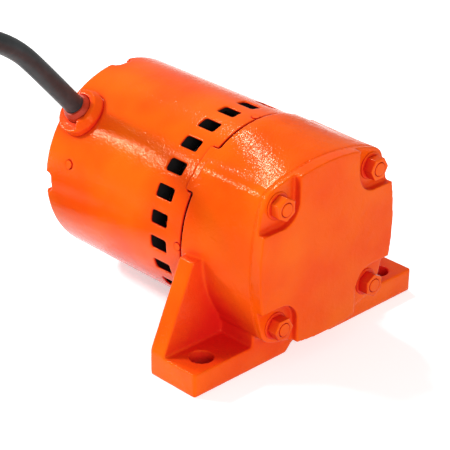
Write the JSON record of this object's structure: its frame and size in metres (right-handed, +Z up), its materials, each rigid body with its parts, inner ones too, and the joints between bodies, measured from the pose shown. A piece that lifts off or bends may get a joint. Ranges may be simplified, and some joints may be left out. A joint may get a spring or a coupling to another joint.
{
  "type": "rotary vibration motor",
  "caption": "Foot-mounted rotary vibration motor: a cast eccentric housing with a bolted cover, flanged to a drum-shaped electric motor with a supply cord.",
  "frame": {"origin": "midpoint between the two foot mounting holes, on the base plane", "axes": "+Z up from the base, +Y along the shaft line from the front cover to the motor, +X to the right seen from the front"},
  "size_m": [0.3294, 0.3374, 0.1957],
  "materials": {
    "painted_casting": "gloss orange over cast texture",
    "painted_shell": "gloss orange",
    "painted_hardware": "gloss orange",
    "bare_casting": "as cast",
    "bearing_steel": "ground",
    "shaft_steel": "turned",
    "core_steel": "laminated",
    "weight_iron": "machined iron",
    "bronze": "machined",
    "copper_wire": "varnished copper",
    "fan_plastic": "moulded",
    "sleeve_rubber": "matte",
    "black_rubber": "matte",
    "cord_rubber": "satin"
  },
  "bodies": {
    "motor_body": {"eccentric_housing": "painted_casting", "front_cover": "painted_casting", "cover_gasket": "painted_casting", "cover_studs": "painted_hardware", "cover_nuts": "painted_hardware", "cover_washers": "painted_hardware", "motor_shell": "painted_shell", "shell_screws": "painted_hardware", "shell_rivet": "painted_hardware", "rear_end_bell": "painted_casting", "tie_bolts": "painted_hardware", "front_end_shield": "bare_casting", "front_bearing_outer_ring": "bearing_steel", "rear_bearing_outer_ring": "bearing_steel", "shaft_seal": "black_rubber", "front_motor_bush": "bronze", "rear_motor_bush": "bronze", "stator_core": "core_steel", "stator_winding": "copper_wire", "entry_collar": "painted_hardware", "cord_strain_relief": "sleeve_rubber", "power_cord": "cord_rubber", "cord_coil": "cord_rubber", "power_plug": "black_rubber", "plug_pins": "bronze"},
    "rotor": {"motor_shaft": "shaft_steel", "rotor_core": "core_steel", "rotor_end_rings": "bare_casting", "cooling_fan": "fan_plastic", "driving_coupling_hub": "bare_casting", "coupling_spider": "black_rubber"},
    "eccentric": {"eccentric_shaft": "shaft_steel", "front_weight": "weight_iron", "rear_weight": "weight_iron", "weight_spacer": "shaft_steel", "weight_key": "shaft_steel", "driven_coupling_hub": "bare_casting", "front_bearing_inner_ring": "bearing_steel", "rear_bearing_inner_ring": "bearing_steel"},
    "front_balls": {"front_bearing_ball_cage": "bearing_steel"},
    "rear_balls": {"rear_bearing_ball_cage": "bearing_steel"}
  },
  "joints": [
    {"name": "rotor_spin", "type": "hinge", "parent": "motor_body", "child": "rotor", "pos_m": [0, 0.105, 0.0698], "axis": [0, 1, 0], "continuous": true},
    {"name": "eccentric_spin", "type": "hinge", "parent": "motor_body", "child": "eccentric", "pos_m": [0, 0.001, 0.0698], "axis": [0, 1, 0], "continuous": true},
    {"name": "front_balls_spin", "type": "hinge", "parent": "motor_body", "child": "front_balls", "pos_m": [0, -0.0142, 0.0698], "axis": [0, 1, 0], "continuous": true},
    {"name": "rear_balls_spin", "type": "hinge", "parent": "motor_body", "child": "rear_balls", "pos_m": [0, 0.0168, 0.0698], "axis": [0, 1, 0], "continuous": true}
  ],
  "couplings": [
    {"joint": "eccentric_spin", "follows": "rotor_spin", "ratio": 1},
    {"joint": "front_balls_spin", "follows": "rotor_spin", "ratio": 0.4035},
    {"joint": "rear_balls_spin", "follows": "rotor_spin", "ratio": 0.4035}
  ]
}
